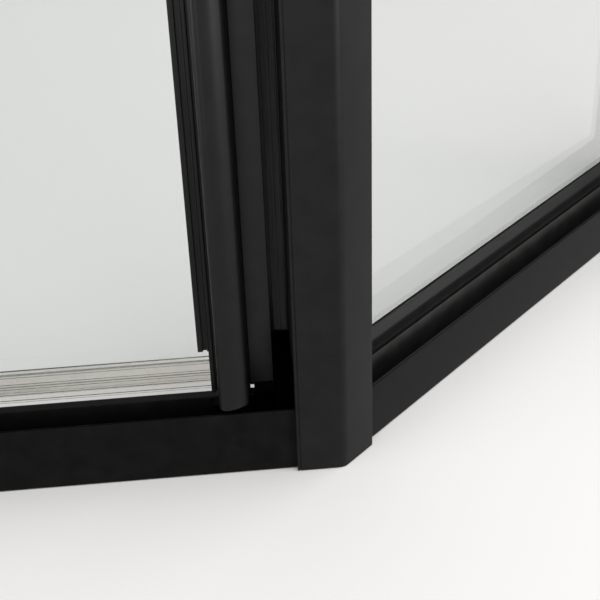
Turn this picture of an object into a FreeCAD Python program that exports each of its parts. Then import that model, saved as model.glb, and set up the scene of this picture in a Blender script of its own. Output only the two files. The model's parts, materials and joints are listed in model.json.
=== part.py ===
import FreeCAD, Part
import math
import os

# Corner shower enclosure front: a pivot door between two 135 degree corner posts and two fixed
# glass side panels that end at the walls. Millimetres, +Z up. The origin is the centre of the
# 900 x 900 footprint on the tray, and the walls are the planes X = +450 and Y = +450.
# Profiles are drawn for the right half. The left half is its mirror image across X = Y.
# Three coordinates serve as local frames: u runs along the door side from the right post's
# outer corner, a runs along the side panel from the same corner, and n runs inwards from
# the outer face of either side.

# driving dimensions
FOOTPRINT = 900.0
HEIGHT = 1900.0
SIDE_LENGTH = 450.0
POST_FACE = 26.5
POST_SIDE_FACE = 25.8
POST_DEPTH = 46.0
POST_BEND = 8.0
POST_WALL = 1.8
POST_CAP = 2.5

DOOR_RAIL_FRONT = 3.2
SIDE_RAIL_FRONT = 4.1
RAIL_WALL = 2.0
RAIL_FLOOR = 10.0
SILL_FLANGE = 39.6
SILL_UPSTAND = (25.3, 31.6, 37.0)
SIDE_FLANGE = 35.6
SIDE_CHANNEL_BACK = 24.7
SIDE_UPSTAND_TOP = 34.0
SIDE_REAR_TOP = 33.0
SIDE_DEPTH = 45.4

GLASS = 6.0
SIDE_GLASS_FRONT = 35.0
SIDE_GLASS_BOTTOM = 14.0
POCKET = (33.8, 43.4)
POCKET_DEPTH = 14.0
BEAD = (25.3, 34.6, 34.8, 43.5)
BEAD_LEDGE = 37.4
BEAD_FOOT = (27.0, 33.0)
FRONT_GASKET_TOP = 49.5

JAMB_FACE = 28.0
JAMB_BOX = (36.35, 49.5)
JAMB_WALL = 1.6
JAMB_LEG = (1.2, 14.0, 28.0)
JAMB_BOTTOM = 43.1
PILE = (26.8, 34.0, 42.0, 67.7)
SEAL_BLOCK_TOP = 66.5
JAMB_SCREW_HEIGHTS = (400.0, 950.0, 1500.0)
JAMB_SCREW = (1.6, 9.0)

DOOR_BOTTOM = 43.5
STILE = (51.4, 70.8, 18.0, 33.0)
CLOSING_SHIFT = 10.0
NOSE = ((67.3, 1.0, 4.2), (57.5, 3.0, 14.0), (51.4, 6.9, 4.5))
NOSE_INWARDS = ((-1.0, 1.22), (0.38, 0.94), (1.0, 0.55))
NOSE_WALL = 1.6
NOSE_BACK = 18.0
WING_END = 77.0
WING_BOTTOM = 71.0
DOOR_GLASS = (25.0, 31.0)
DOOR_GLASS_BOTTOM = 50.0
DOOR_GLASS_EDGE = 71.2
SEAL_BOTTOM = 44.3
SEAL_TOP = 65.0
SEAL_REAR_TOP = 57.5
SEAL_RIBS = (62.2, 60.8, 56.3, 53.2, 49.5, 45.9)
SEAL_RIB = (0.5, 0.35)
PIVOT_U = 60.0
PIVOT_N = 10.0
PIVOT_RADIUS = 4.0
PIVOT_FIT = 0.05
BLOCK_TOP = 36.0
PIVOT_BLOCK = (48.0, 73.0)
BLOCK_SCREW = (67.0, 18.0)
BUSH_RADIUS = 5.0
BUSH_LENGTH = 24.0
PIVOT_TIP = 66.0

WALL_PROFILE_DEPTH = 28.0
WALL_PROFILE = (2.0, 47.0)
WALL_PROFILE_WALL = 1.8
STILE_DEPTH = 30.0
STILE_GAP = 8.0
SCREW_HEIGHTS = (150.0, 650.0, 1250.0, 1750.0)
WALL_HOLE_RADIUS = 3.0
ADJUST_RADIUS = 2.0

# derived positions
DIAGONAL = math.sqrt(0.5)
CORNER = FreeCAD.Vector(0, -FOOTPRINT / 2, 0)
ALONG_DOOR = FreeCAD.Vector(-DIAGONAL, DIAGONAL, 0)
INTO_DOOR = FreeCAD.Vector(DIAGONAL, DIAGONAL, 0)
ALONG_SIDE = FreeCAD.Vector(1, 0, 0)
INTO_SIDE = FreeCAD.Vector(0, 1, 0)
UP = FreeCAD.Vector(0, 0, 1)
DOOR_RUN = (FOOTPRINT - SIDE_LENGTH) / DIAGONAL
SIDE_GLASS_BACK = SIDE_GLASS_FRONT + GLASS
WALL_FRONT = SIDE_LENGTH - WALL_PROFILE_DEPTH
STILE_END = SIDE_LENGTH - STILE_GAP
STILE_START = STILE_END - STILE_DEPTH
PANEL_GLASS = (POST_SIDE_FACE - POCKET_DEPTH + 3.0, STILE_START + POCKET_DEPTH - 3.0)


def rounded_corner(before, corner, after):
    """Start, middle and end of the arc that rounds a corner whose third value is its radius."""
    to_before = FreeCAD.Vector(before[0] - corner[0], before[1] - corner[1], 0).normalize()
    to_after = FreeCAD.Vector(after[0] - corner[0], after[1] - corner[1], 0).normalize()
    half = to_before.getAngle(to_after) / 2
    tip = FreeCAD.Vector(corner[0], corner[1], 0)
    reach = corner[2] / math.tan(half)
    inwards = (to_before + to_after).normalize()
    middle = tip + inwards * (corner[2] / math.sin(half) - corner[2])
    return [tip + to_before * reach, middle, tip + to_after * reach]


def outline(points, place):
    """Closed wire through 2-D points; a point with a third value is a corner rounded to it."""
    corners = []
    for index, point in enumerate(points):
        if len(point) > 2:
            following = points[(index + 1) % len(points)]
            corners.append(rounded_corner(points[index - 1], point, following))
        else:
            corners.append([FreeCAD.Vector(point[0], point[1], 0)])
    edges = []
    for index, corner in enumerate(corners):
        placed = [place(spot) for spot in corner]
        if len(placed) == 3:
            edges.append(Part.Arc(*placed).toShape())
        start, end = placed[-1], place(corners[(index + 1) % len(corners)][0])
        if start.distanceToPoint(end) > 1e-6:
            edges.append(Part.LineSegment(start, end).toShape())
    return Part.Wire(edges)


def prism(points, place, run, holes=()):
    """Extrusion of an outline along run, with closed hollows through it."""
    solid = Part.Face(outline(points, place)).extrude(run)
    for hole in holes:
        solid = solid.cut(Part.Face(outline(hole, place)).extrude(run))
    return solid


def door_upright(points, bottom, top, holes=()):
    """Vertical profile on the door side, drawn in (u, n)."""
    def place(spot):
        return CORNER + ALONG_DOOR * spot.x + INTO_DOOR * spot.y + UP * bottom
    return prism(points, place, UP * (top - bottom), holes)


def side_upright(points, bottom, top, holes=()):
    """Vertical profile on the right side panel, drawn in (a, n)."""
    def place(spot):
        return CORNER + ALONG_SIDE * spot.x + INTO_SIDE * spot.y + UP * bottom
    return prism(points, place, UP * (top - bottom), holes)


def door_rail(points, start, end, holes=()):
    """Horizontal profile along the door side, drawn in (n, z)."""
    def place(spot):
        return CORNER + ALONG_DOOR * start + INTO_DOOR * spot.x + UP * spot.y
    return prism(points, place, ALONG_DOOR * (end - start), holes)


def side_rail(points, start, end, holes=()):
    """Horizontal profile along the right side panel, drawn in (n, z)."""
    def place(spot):
        return CORNER + ALONG_SIDE * start + INTO_SIDE * spot.x + UP * spot.y
    return prism(points, place, ALONG_SIDE * (end - start), holes)


def rectangle(low_x, high_x, low_y, high_y, radius=0):
    corners = [(low_x, low_y), (high_x, low_y), (high_x, high_y), (low_x, high_y)]
    return [corner + (radius,) for corner in corners] if radius else corners


def door_box(u_range, n_range, bottom, top):
    return door_upright(rectangle(*u_range, *n_range), bottom, top)


def mirrored(shape):
    """The same piece on the other half of the enclosure."""
    return shape.mirror(FreeCAD.Vector(0, 0, 0), FreeCAD.Vector(1, -1, 0))


def upside_down(shape):
    """The same piece at the other end of the enclosure's height."""
    return shape.mirror(FreeCAD.Vector(0, 0, HEIGHT / 2), UP)


def door_to_side(u, n):
    """(a, n) of the side frame for a point given in the door's (u, n)."""
    spot = ALONG_DOOR * u + INTO_DOOR * n
    return (spot.x, spot.y)


def door_cylinder(u, n, radius, bottom, top):
    foot = CORNER + ALONG_DOOR * u + INTO_DOOR * n + UP * bottom
    return Part.makeCylinder(radius, top - bottom, foot, UP)


def pan_screw(seat, direction, shank_radius, head_radius, head_height, length):
    """Screw whose head stands on seat and whose shank runs along direction."""
    head = Part.makeCylinder(head_radius, head_height, seat - direction * head_height, direction)
    return head.fuse(Part.makeCylinder(shank_radius, length, seat, direction))


def corner_post():
    groove_edge, groove = 1.4, 0.5
    leg, leg_front, _ = JAMB_LEG
    outer = [
        (0, 0, POST_BEND),
        (POST_SIDE_FACE, 0, 0.6),
        (POST_SIDE_FACE, POCKET[0]),
        (POST_SIDE_FACE - POCKET_DEPTH, POCKET[0]),
        (POST_SIDE_FACE - POCKET_DEPTH, POCKET[1]),
        (POST_SIDE_FACE, POCKET[1]),
        (POST_SIDE_FACE, POST_DEPTH),
        door_to_side(POST_FACE - leg, POST_DEPTH),
        door_to_side(POST_FACE - leg, leg_front),
        door_to_side(POST_FACE, leg_front),
        door_to_side(POST_FACE, 0) + (0.4,),
        door_to_side(POST_FACE - groove_edge, 0),
        door_to_side(POST_FACE - groove_edge, groove),
        door_to_side(POST_FACE - groove_edge - groove, groove),
        door_to_side(POST_FACE - groove_edge - groove, 0),
    ]
    side_wall = POST_SIDE_FACE - POST_WALL
    door_wall = POST_FACE - leg - POST_WALL
    pocket_wall = POST_SIDE_FACE - POCKET_DEPTH - POST_WALL
    chamber = [
        (POST_WALL * math.tan(math.radians(22.5)), POST_WALL, POST_BEND - POST_WALL),
        (side_wall, POST_WALL),
        (side_wall, POCKET[0] - POST_WALL),
        (pocket_wall, POCKET[0] - POST_WALL),
        (pocket_wall, pocket_wall + door_wall / DIAGONAL),
        door_to_side(door_wall, POST_WALL),
    ]
    post = side_upright(outer, 0, HEIGHT - POST_CAP, [chamber])
    return post.cut(Part.makeCompound(jamb_screw_holes()))


def post_cap():
    outer = [
        (0, 0, POST_BEND),
        (POST_SIDE_FACE, 0, 0.6),
        (POST_SIDE_FACE, POST_DEPTH),
        door_to_side(POST_FACE, POST_DEPTH),
        door_to_side(POST_FACE, 0) + (0.4,),
    ]
    side_inset = POST_SIDE_FACE - POST_WALL - 0.3
    door_inset = POST_FACE - JAMB_LEG[0] - POST_WALL - 0.3
    front = POST_WALL + 1.3
    plug = [
        (front * math.tan(math.radians(22.5)), front, POST_BEND - POST_WALL),
        (side_inset, front),
        (side_inset, POCKET[0] - POST_WALL - 0.3),
        door_to_side(door_inset, 22.0),
        door_to_side(door_inset, front),
    ]
    plate = side_upright(outer, HEIGHT - POST_CAP, HEIGHT)
    return plate.fuse(side_upright(plug, HEIGHT - POST_CAP - 12, HEIGHT - POST_CAP))


def sill_section():
    back, rear, top = SILL_UPSTAND
    floor_inside = RAIL_FLOOR - RAIL_WALL
    outer = [
        (DOOR_RAIL_FRONT, 0, 0.4),
        (rear, 0),
        (rear, top, 0.4),
        (back, top, 0.4),
        (back, RAIL_FLOOR),
        (DOOR_RAIL_FRONT + RAIL_WALL, RAIL_FLOOR),
        (DOOR_RAIL_FRONT + RAIL_WALL, SILL_FLANGE, 0.6),
        (DOOR_RAIL_FRONT, SILL_FLANGE, 0.6),
    ]
    chamber = rectangle(DOOR_RAIL_FRONT + RAIL_WALL, back, RAIL_WALL, floor_inside)
    upright = rectangle(back + RAIL_WALL, rear - RAIL_WALL, RAIL_WALL, top - RAIL_WALL)
    return outer, [chamber, upright]


def door_sill_rail():
    outer, holes = sill_section()
    rail = door_rail(outer, POST_FACE, DOOR_RUN - POST_FACE, holes)
    for u in (90.0, DOOR_RUN - 90.0):
        rail = rail.cut(door_cylinder(u, 15.0, 2.0, -1, RAIL_FLOOR + 1))
    return rail


def side_section():
    floor_inside = RAIL_FLOOR - RAIL_WALL
    outer = [
        (SIDE_RAIL_FRONT, 0, 0.4),
        (SIDE_DEPTH, 0),
        (SIDE_DEPTH, SIDE_REAR_TOP, 0.4),
        (POCKET[1], SIDE_REAR_TOP, 0.4),
        (POCKET[1], RAIL_FLOOR),
        (BEAD_FOOT[1], RAIL_FLOOR),
        (BEAD_FOOT[1], SIDE_UPSTAND_TOP),
        (SIDE_CHANNEL_BACK, SIDE_UPSTAND_TOP, 0.4),
        (SIDE_CHANNEL_BACK, RAIL_FLOOR),
        (SIDE_RAIL_FRONT + RAIL_WALL, RAIL_FLOOR),
        (SIDE_RAIL_FRONT + RAIL_WALL, SIDE_FLANGE, 0.6),
        (SIDE_RAIL_FRONT, SIDE_FLANGE, 0.6),
    ]
    front = rectangle(SIDE_RAIL_FRONT + RAIL_WALL, SIDE_CHANNEL_BACK, RAIL_WALL, floor_inside)
    middle = rectangle(SIDE_CHANNEL_BACK + RAIL_WALL, BEAD_FOOT[1] - RAIL_WALL,
                       RAIL_WALL, SIDE_UPSTAND_TOP - RAIL_WALL)
    rear = rectangle(BEAD_FOOT[1], POCKET[1], RAIL_WALL, floor_inside)
    return outer, [front, middle, rear]


def side_bottom_rail():
    outer, holes = side_section()
    return side_rail(outer, POST_SIDE_FACE, STILE_START, holes)


def glazing_bead():
    front, back, bottom, top = BEAD
    outline_points = [
        (BEAD_FOOT[0], SIDE_UPSTAND_TOP),
        (BEAD_FOOT[1], SIDE_UPSTAND_TOP),
        (BEAD_FOOT[1], bottom),
        (back, bottom),
        (back, top, 0.4),
        (front, top, 0.6),
        (front, BEAD_LEDGE),
        (SIDE_CHANNEL_BACK, BEAD_LEDGE - 0.2),
        (SIDE_CHANNEL_BACK, bottom, 0.3),
        (BEAD_FOOT[0], bottom),
    ]
    hollow = rectangle(front + 1.4, back - 1.4, bottom + 1.4, top - 1.4)
    return side_rail(outline_points, POST_SIDE_FACE, STILE_START, [hollow])


def fixed_glass():
    pane = rectangle(*PANEL_GLASS, SIDE_GLASS_FRONT, SIDE_GLASS_BACK)
    return side_upright(pane, SIDE_GLASS_BOTTOM, HEIGHT - SIDE_GLASS_BOTTOM)


def front_gasket():
    """Clear gasket between the glazing bead and the glass, with a lip that stands above."""
    points = [
        (BEAD_FOOT[1] + 0.3, 20.0),
        (SIDE_GLASS_FRONT, 20.0),
        (SIDE_GLASS_FRONT, FRONT_GASKET_TOP),
        (BEAD[1] + 0.1, FRONT_GASKET_TOP - 0.4),
        (BEAD[1], BEAD[2]),
        (BEAD_FOOT[1] + 0.3, BEAD[2] - 0.3),
    ]
    return side_rail(points, POST_SIDE_FACE, STILE_START)


def rear_gasket():
    points = [
        (SIDE_GLASS_BACK, 18.0),
        (POCKET[1], 18.0),
        (POCKET[1], SIDE_REAR_TOP),
        (POCKET[1] + 1.0, SIDE_REAR_TOP),
        (POCKET[1] + 0.6, SIDE_REAR_TOP + 2.5),
        (SIDE_GLASS_BACK, SIDE_REAR_TOP + 2.5),
    ]
    return side_rail(points, POST_SIDE_FACE, STILE_START)


def both_ends(piece):
    return Part.makeCompound([piece, upside_down(piece)])


def upright_gaskets():
    """Clear strips either side of the fixed glass, in the post and in the panel stile."""
    bottom, top = SIDE_GLASS_BOTTOM, HEIGHT - SIDE_GLASS_BOTTOM
    strips = []
    post_reach = (PANEL_GLASS[0], POST_SIDE_FACE - 1.0)
    stile_reach = (STILE_START + 1.0, PANEL_GLASS[1])
    for reach in (post_reach, stile_reach):
        strips.append(rectangle(*reach, POCKET[0], SIDE_GLASS_FRONT))
        strips.append(rectangle(*reach, SIDE_GLASS_BACK, POCKET[1]))
    return Part.makeCompound([side_upright(strip, bottom, top) for strip in strips])


def setting_blocks():
    """Two blocks in the bottom rail's pocket that carry the fixed glass."""
    inset, length = 60.0, 50.0
    blocks = []
    for start in (POST_SIDE_FACE + inset, STILE_START - inset - length):
        section = rectangle(BEAD_FOOT[1] + 0.4, POCKET[1], RAIL_FLOOR, SIDE_GLASS_BOTTOM)
        blocks.append(side_rail(section, start, start + length))
    return Part.makeCompound(blocks)


def wall_profile():
    front, back = WALL_PROFILE
    wall = WALL_PROFILE_WALL
    points = [
        (SIDE_LENGTH, front),
        (SIDE_LENGTH, back),
        (WALL_FRONT, back, 0.4),
        (WALL_FRONT, back - wall, 0.4),
        (SIDE_LENGTH - wall, back - wall),
        (SIDE_LENGTH - wall, front + wall),
        (WALL_FRONT, front + wall, 0.4),
        (WALL_FRONT, front, 0.4),
    ]
    channel = side_upright(points, 0, HEIGHT)
    middle = (front + back) / 2
    for z in SCREW_HEIGHTS:
        base = CORNER + ALONG_SIDE * (SIDE_LENGTH - 5) + INTO_SIDE * middle + UP * z
        channel = channel.cut(Part.makeCylinder(WALL_HOLE_RADIUS, 10, base, ALONG_SIDE))
        tapped = CORNER + ALONG_SIDE * (WALL_FRONT + 10) + INTO_SIDE * (back - 5) + UP * (z + 60)
        channel = channel.cut(Part.makeCylinder(ADJUST_RADIUS, 10, tapped, INTO_SIDE))
    return channel


def panel_stile():
    """Upright of the fixed panel that slides inside the wall profile."""
    front = WALL_PROFILE[0] + WALL_PROFILE_WALL + 0.4
    back = WALL_PROFILE[1] - WALL_PROFILE_WALL - 0.4
    wall = 1.6
    bottom_of_pocket = STILE_START + POCKET_DEPTH
    points = [
        (STILE_START, front, 0.6),
        (STILE_START, POCKET[0]),
        (bottom_of_pocket, POCKET[0]),
        (bottom_of_pocket, POCKET[1]),
        (STILE_START, POCKET[1]),
        (STILE_START, back),
        (STILE_END, back),
        (STILE_END, front),
    ]
    hollow = [
        (STILE_START + wall, front + wall),
        (STILE_START + wall, POCKET[0] - wall),
        (bottom_of_pocket + wall, POCKET[0] - wall),
        (bottom_of_pocket + wall, back - 1.2),
        (STILE_END - wall, back - 1.2),
        (STILE_END - wall, front + wall),
    ]
    return side_upright(points, 0, HEIGHT, [hollow])


def adjusting_screws():
    """Grub screws through the wall profile's inner flange that hold the panel stile."""
    screws = []
    back = WALL_PROFILE[1]
    for z in SCREW_HEIGHTS:
        seat = CORNER + ALONG_SIDE * (WALL_FRONT + 10) + INTO_SIDE * back + UP * (z + 60)
        outwards = INTO_SIDE * -1
        reach = WALL_PROFILE_WALL + 0.4
        screws.append(pan_screw(seat, outwards, ADJUST_RADIUS - 0.05, 3.6, 1.8, reach))
    return screws


def screw_caps():
    """Snap-on caps over the adjusting screws."""
    caps = []
    for z in SCREW_HEIGHTS:
        seat = CORNER + ALONG_SIDE * (WALL_FRONT + 10) + INTO_SIDE * WALL_PROFILE[1] + UP * (z + 60)
        dome = Part.makeCylinder(5.2, 3.4, seat, INTO_SIDE)
        dome = dome.makeFillet(1.0, [dome.Edges[0]])
        caps.append(dome.cut(Part.makeCylinder(3.7, 2.0, seat, INTO_SIDE)))
    return caps


def hinge_jamb():
    """Profile on the post's door flank: a hollow box with a back plate and a fixing leg."""
    near, far = JAMB_BOX
    back_plate = 44.0
    leg, leg_front, leg_back = JAMB_LEG
    thin = 0.6
    points = [
        (POST_FACE - leg, leg_front),
        (POST_FACE, leg_front),
        (POST_FACE, leg_back),
        (POST_FACE - thin, leg_back),
        (POST_FACE - thin, back_plate),
        (near, back_plate),
        (near, JAMB_FACE, 0.5),
        (far, JAMB_FACE, 0.5),
        (far, POST_DEPTH),
        (POST_FACE - leg, POST_DEPTH),
    ]
    hollow = rectangle(near + JAMB_WALL, far - JAMB_WALL, JAMB_FACE + JAMB_WALL,
                       POST_DEPTH - JAMB_WALL)
    jamb = door_upright(points, JAMB_BOTTOM, HEIGHT - JAMB_BOTTOM, [hollow])
    return jamb.cut(Part.makeCompound(jamb_screw_holes()))


def jamb_pile_strip():
    near, far, face, bottom = PILE
    return door_box((near, far), (face, 44.0), bottom, HEIGHT - bottom)


def jamb_foot():
    """Plastic foot that closes the jamb's end and stands on the tray behind the sill."""
    _, rear, upstand_top = SILL_UPSTAND
    near, far = POST_FACE + 0.2, 47.0
    foot = door_box((near, far), (rear + 0.2, POST_DEPTH), 0, JAMB_BOTTOM)
    over_sill = door_box((near, far), (JAMB_FACE, POST_DEPTH), upstand_top, JAMB_BOTTOM)
    plug = door_box((JAMB_BOX[0] + 2, JAMB_BOX[1] - 2), (JAMB_FACE + 2, POST_DEPTH - 2),
                    JAMB_BOTTOM, JAMB_BOTTOM + 15)
    plate = door_box((near, JAMB_BOX[1]), (JAMB_FACE, POST_DEPTH), JAMB_BOTTOM - 1.6, JAMB_BOTTOM)
    return foot.fuse([over_sill, plate, plug]).removeSplitter()


def corner_seal_block():
    """Foam block that stops water where the sill channel meets the post and the jamb."""
    near, far = POST_FACE + 0.2, JAMB_BOX[0] - 0.2
    front, back = DOOR_RAIL_FRONT + RAIL_WALL + 0.3, SILL_UPSTAND[0] - 0.3
    in_channel = door_box((near, PIVOT_BLOCK[0] - 0.3), (front, back), RAIL_FLOOR, SILL_FLANGE - 2)
    tower = door_box((near, far), (front, back), RAIL_FLOOR, SEAL_BLOCK_TOP)
    over_sill = door_box((near, far), (back, JAMB_FACE + 13.0), JAMB_BOTTOM, SEAL_BLOCK_TOP)
    return in_channel.fuse([tower, over_sill]).removeSplitter()


def jamb_screw_seats():
    spot = CORNER + ALONG_DOOR * POST_FACE + INTO_DOOR * 21.0
    return [spot + UP * z for z in JAMB_SCREW_HEIGHTS]


def jamb_screw_holes():
    radius, reach = JAMB_SCREW
    return [Part.makeCylinder(radius, reach, seat, ALONG_DOOR * -1) for seat in jamb_screw_seats()]


def jamb_screws():
    """Pan head screws through the jamb's leg into the post."""
    radius, reach = JAMB_SCREW
    towards_post = ALONG_DOOR * -1
    return [pan_screw(seat, towards_post, radius, 3.4, 1.8, reach) for seat in jamb_screw_seats()]


def hinge_gap_seal():
    """Rubber lip on the jamb's side that closes the gap to the hinge stile."""
    far = JAMB_BOX[1]
    points = [
        (far, 29.0),
        (far + 1.6, 29.0),
        (far + 1.6, 30.2),
        (far + 1.0, 30.2),
        (far + 1.0, 40.0),
        (far, 40.0),
    ]
    bottom = SILL_UPSTAND[2] + 0.3
    return door_upright(points, bottom, HEIGHT - bottom)


def pivot_block():
    """Block in the sill channel that carries the pivot pin."""
    gap = 0.2
    low, high = DOOR_RAIL_FRONT + RAIL_WALL + gap, SILL_UPSTAND[0] - gap
    block = door_upright(rectangle(*PIVOT_BLOCK, low, high, 1.5), RAIL_FLOOR, BLOCK_TOP)
    block = block.cut(door_cylinder(PIVOT_U, PIVOT_N, PIVOT_RADIUS, RAIL_FLOOR - 1, BLOCK_TOP + 1))
    return block.cut(door_cylinder(*BLOCK_SCREW, 2.1, RAIL_FLOOR - 1, BLOCK_TOP + 1))


def block_screw():
    u, n = BLOCK_SCREW
    spot = CORNER + ALONG_DOOR * u + INTO_DOOR * n + UP * BLOCK_TOP
    return pan_screw(spot, UP * -1, 2.1, 3.8, 2.2, BLOCK_TOP - RAIL_FLOOR)


def pivot_pin():
    """Pin pressed in the block, with a shoulder just under the bush."""
    pin = door_cylinder(PIVOT_U, PIVOT_N, PIVOT_RADIUS, RAIL_FLOOR, PIVOT_TIP)
    collar = door_cylinder(PIVOT_U, PIVOT_N, BUSH_RADIUS - 0.5, DOOR_BOTTOM - 3, DOOR_BOTTOM - 0.3)
    return pin.fuse(collar)


def nose_points(inset, back):
    """Front of a stile's rounded nose in (u, n), shrunk by inset and open at its back."""
    corners = [(u + across * inset, n + inwards * inset, max(radius - inset, 0.4))
               for (u, n, radius), (across, inwards) in zip(NOSE, NOSE_INWARDS)]
    return [(corners[0][0], back)] + corners + [(corners[-1][0], back)]


def nose_cover():
    inside = nose_points(NOSE_WALL, NOSE_BACK)
    points = nose_points(0.0, NOSE_BACK) + inside[::-1]
    return door_upright(points, DOOR_BOTTOM, HEIGHT - DOOR_BOTTOM)


def end_plug(length):
    """Plug that closes the end of a nose cover."""
    points = nose_points(NOSE_WALL + 0.1, NOSE_BACK - 0.1)
    return door_upright(points, DOOR_BOTTOM, DOOR_BOTTOM + length)


def nose_plug():
    """Plug in the end of the hinge stile's nose cover that carries the pivot bush."""
    bush = door_cylinder(PIVOT_U, PIVOT_N, BUSH_RADIUS, DOOR_BOTTOM - 1, DOOR_BOTTOM + BUSH_LENGTH)
    return end_plug(30.0).cut(bush)


def pivot_bush():
    outer = door_cylinder(PIVOT_U, PIVOT_N, BUSH_RADIUS, DOOR_BOTTOM, DOOR_BOTTOM + BUSH_LENGTH)
    bore = PIVOT_RADIUS + PIVOT_FIT
    depth = BUSH_LENGTH - 1.0
    return outer.cut(door_cylinder(PIVOT_U, PIVOT_N, bore, DOOR_BOTTOM - 1, DOOR_BOTTOM + depth))


def stile_outline():
    """Hinge stile in (u, n): a box with stepped glazing wings either side of the glass."""
    near, far, front, back = STILE
    wing_front, wing_back = 20.0, 24.2
    return [
        (near, front),
        (NOSE[0][0], front),
        (NOSE[0][0], front + 4.0),
        (68.9, front + 4.0),
        (68.9, wing_front),
        (70.6, wing_front),
        (70.6, wing_front + 0.5),
        (71.0, wing_front + 0.5),
        (71.0, wing_front),
        (71.9, wing_front),
        (71.9, wing_front + 1.6),
        (74.1, wing_front + 1.6),
        (74.1, wing_front),
        (WING_END, wing_front, 0.3),
        (WING_END, wing_back),
        (far, wing_back),
        (far, 31.8),
        (WING_END, 31.8),
        (WING_END, back + 1.0, 0.4),
        (near, back + 1.0, 0.4),
    ]


def stile():
    """The stile with its front wing cut back above the bottom seal."""
    near, far, front, back = STILE
    hollow = rectangle(near + 1.6, far - 3.6, front + 1.6, back - 0.6)
    profile = door_upright(stile_outline(), DOOR_BOTTOM, HEIGHT - DOOR_BOTTOM, [hollow])
    notch = door_box((DOOR_GLASS_EDGE, WING_END + 1), (front, back + 2),
                     DOOR_BOTTOM - 1, WING_BOTTOM)
    return profile.cut(notch)


def stile_gaskets():
    """Strips that bed the door glass between a stile's wings."""
    front = door_box((DOOR_GLASS_EDGE, WING_END - 0.3), (24.2, DOOR_GLASS[0]),
                     WING_BOTTOM, HEIGHT - DOOR_BOTTOM)
    back = door_box((DOOR_GLASS_EDGE, WING_END - 0.3), (DOOR_GLASS[1], 31.8),
                    WING_BOTTOM, HEIGHT - DOOR_BOTTOM)
    return [front, back]


def door_glass():
    far = DOOR_RUN - CLOSING_SHIFT - DOOR_GLASS_EDGE
    return door_box((DOOR_GLASS_EDGE, far), DOOR_GLASS, DOOR_GLASS_BOTTOM, HEIGHT - DOOR_BOTTOM)


def on_closing_side(shape):
    """A hinge side piece of the door, mirrored to the closing side."""
    return mirrored(shape).translate(ALONG_DOOR * -CLOSING_SHIFT)


def door_bottom_seal():
    """Clear seal on the glass's bottom edge, with two lips below and fine ribs outside."""
    front, back = DOOR_GLASS[0] - 1.2, DOOR_GLASS[1] + 1.2
    floor = 49.1
    points = [(DOOR_GLASS[0], SEAL_BOTTOM), (DOOR_GLASS[0], floor),
              (DOOR_GLASS[1], floor), (DOOR_GLASS[1], SEAL_BOTTOM), (back, SEAL_BOTTOM),
              (back, SEAL_REAR_TOP), (DOOR_GLASS[1], SEAL_REAR_TOP),
              (DOOR_GLASS[1], DOOR_GLASS_BOTTOM), (DOOR_GLASS[0], DOOR_GLASS_BOTTOM),
              (DOOR_GLASS[0], SEAL_TOP), (front, SEAL_TOP)]
    width, height = SEAL_RIB
    for middle in SEAL_RIBS:
        points += [(front, middle + width / 2), (front - height, middle),
                   (front, middle - width / 2)]
    points.append((front, SEAL_BOTTOM))
    far = DOOR_RUN - CLOSING_SHIFT - DOOR_GLASS_EDGE
    return door_rail(points, DOOR_GLASS_EDGE, far)


def door_magnet_seal():
    """Flexible profile on the closing stile's edge that carries the door's magnet."""
    near = STILE[0] - 6.0
    seal = rectangle(near, STILE[0], 21.0, 31.0, 0.8)
    hollow = rectangle(near + 0.8, near + 3.8, 22.0, 30.0)
    bottom, top = DOOR_BOTTOM, HEIGHT - DOOR_BOTTOM
    return on_closing_side(door_upright(seal, bottom, top, [hollow]))


def door_magnet():
    near = STILE[0] - 6.0
    strip = door_box((near + 0.9, near + 3.7), (22.1, 29.9), DOOR_BOTTOM, HEIGHT - DOOR_BOTTOM)
    return on_closing_side(strip)


def strike_seal():
    """Flexible profile on the strike jamb that carries the frame's magnet."""
    near, gap = JAMB_BOX[1], 0.8
    far = STILE[0] + CLOSING_SHIFT - 6.0 - gap
    seal = rectangle(near, far, JAMB_FACE, 38.0)
    arm = rectangle(far - 4.6, far, 21.0, JAMB_FACE)
    hollow = rectangle(far - 3.8, far - 0.8, 22.0, 30.0)
    bottom, top = JAMB_BOTTOM, HEIGHT - JAMB_BOTTOM
    body = door_upright(seal, bottom, top).fuse(door_upright(arm, bottom, top))
    return mirrored(body.removeSplitter().cut(door_upright(hollow, bottom, top)))


def strike_magnet():
    far = STILE[0] + CLOSING_SHIFT - 6.8
    strip = door_box((far - 3.7, far - 0.9), (22.1, 29.9), JAMB_BOTTOM, HEIGHT - JAMB_BOTTOM)
    return mirrored(strip)


def rail_screws():
    """Screws that hold the door's sill and head rails, in their channels."""
    screws = []
    for u in (90.0, DOOR_RUN - 90.0):
        seat = CORNER + ALONG_DOOR * u + INTO_DOOR * 15.0 + UP * RAIL_FLOOR
        screws.append(pan_screw(seat, UP * -1, 1.95, 3.8, 2.2, RAIL_FLOOR))
    return screws


def both_halves(pieces):
    return Part.makeCompound(pieces + [mirrored(piece) for piece in pieces])


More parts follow.
